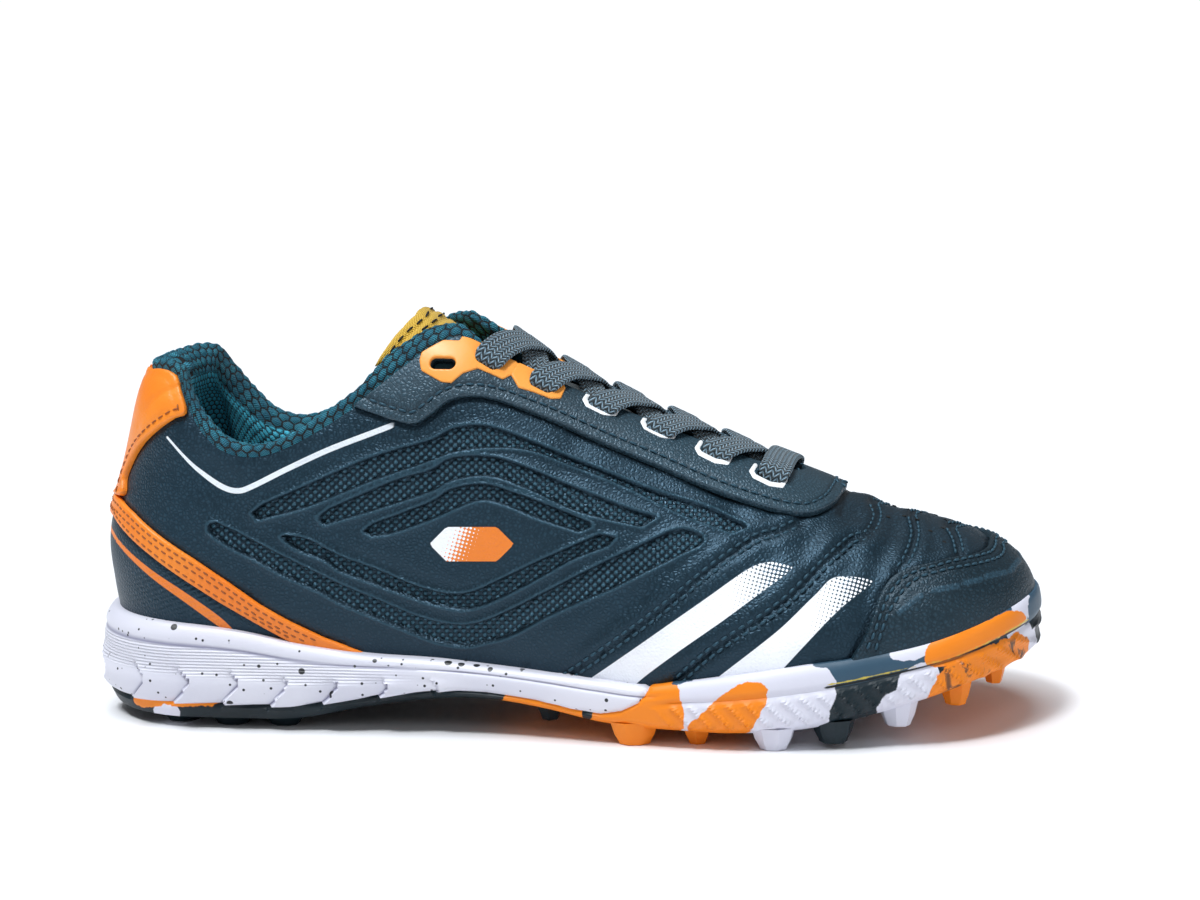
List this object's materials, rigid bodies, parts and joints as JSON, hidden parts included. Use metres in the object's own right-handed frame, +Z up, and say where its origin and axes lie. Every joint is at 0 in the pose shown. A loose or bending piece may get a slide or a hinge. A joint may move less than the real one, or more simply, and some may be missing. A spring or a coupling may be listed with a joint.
{
  "type": "football shoe",
  "caption": "Low-cut turf football shoe: leather upper with padded mesh collar, tongue, lace facing, laces, toe guard, foam midsole and studded rubber outsole.",
  "frame": {"origin": "under the middle of the shoe's bounding box, on the floor that the studs stand on", "axes": "+X from heel to toe, +Y to the inner side of the foot, +Z up"},
  "size_m": [0.281, 0.0962, 0.1206],
  "materials": {
    "upper_leather": "soft synthetic leather, dark slate blue with a fine grain, satin",
    "facing_leather": "grained synthetic leather, dark slate blue, satin",
    "guard_leather": "smooth grained synthetic leather, dark slate blue, satin",
    "orange_trim": "moulded and stitched synthetic leather, bright orange, satin",
    "collar_mesh": "padded mesh of raised cells, teal over a dark ground",
    "tongue_fabric": "woven fabric over thin padding, warm yellow",
    "sockliner": "brushed textile over thin foam, near black",
    "foam": "moulded foam, white with black specks, satin",
    "rubber": "moulded rubber, dark slate blue with orange and white marbling, satin",
    "lace": "flat braided polyester, dark slate blue"
  },
  "bodies": {
    "root": {"outsole": "rubber", "midsole": "foam", "insole": "sockliner", "upper": "upper_leather", "collar_padding": "collar_mesh", "tongue": "tongue_fabric", "lace_facing": "facing_leather", "toe_guard": "guard_leather", "heel_tab": "orange_trim", "heel_band": "orange_trim", "lace_cross_1": "lace", "lace_cross_2": "lace", "lace_cross_3": "lace", "lace_cross_4": "lace", "lace_cross_5": "lace", "lace_bar": "lace"}
  },
  "joints": []
}
